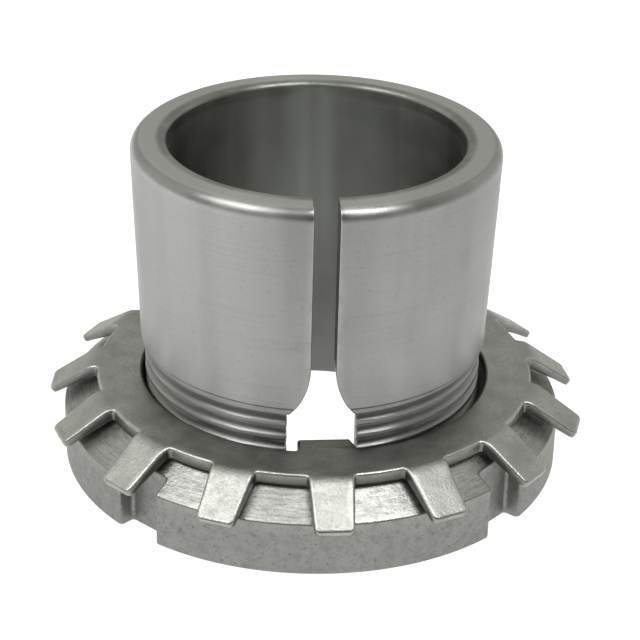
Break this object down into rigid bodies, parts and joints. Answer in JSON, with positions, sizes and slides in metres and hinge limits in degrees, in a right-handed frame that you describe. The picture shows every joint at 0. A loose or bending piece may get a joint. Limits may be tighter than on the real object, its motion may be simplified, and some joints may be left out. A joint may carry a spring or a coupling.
{
  "type": "bearing adapter sleeve",
  "caption": "Slit tapered steel sleeve on a threaded lock nut, with a tabbed lock washer keyed into the sleeve's slot.",
  "frame": {"origin": "centre of the lock nut's lower face, on the common axis", "axes": "+Z along the axis from the nut to the sleeve's large end; -Y towards the sleeve's slit and keyway"},
  "size_m": [0.0562, 0.056, 0.035],
  "materials": {
    "ground_steel": "ground satin steel",
    "stamped_steel": "tumbled, lightly pitted steel",
    "nut_steel": "machined steel, lightly mottled"
  },
  "bodies": {
    "nut": {"lock_nut": "nut_steel"},
    "washer": {"lock_washer": "stamped_steel"},
    "sleeve": {"adapter_sleeve": "ground_steel"}
  },
  "joints": [
    {"name": "nut_turn", "type": "hinge", "parent": "nut", "child": "washer", "pos_m": [0, 0, 0.008], "axis": [0, 0, 1], "range_deg": [-720, 1440]},
    {"name": "sleeve_travel", "type": "slide", "parent": "washer", "child": "sleeve", "axis": [0, 0, 1], "range_m": [-0.003, 0.006]}
  ],
  "couplings": [
    {"joint": "sleeve_travel", "follows": "nut_turn", "m_per_rad": 0.00023873}
  ]
}
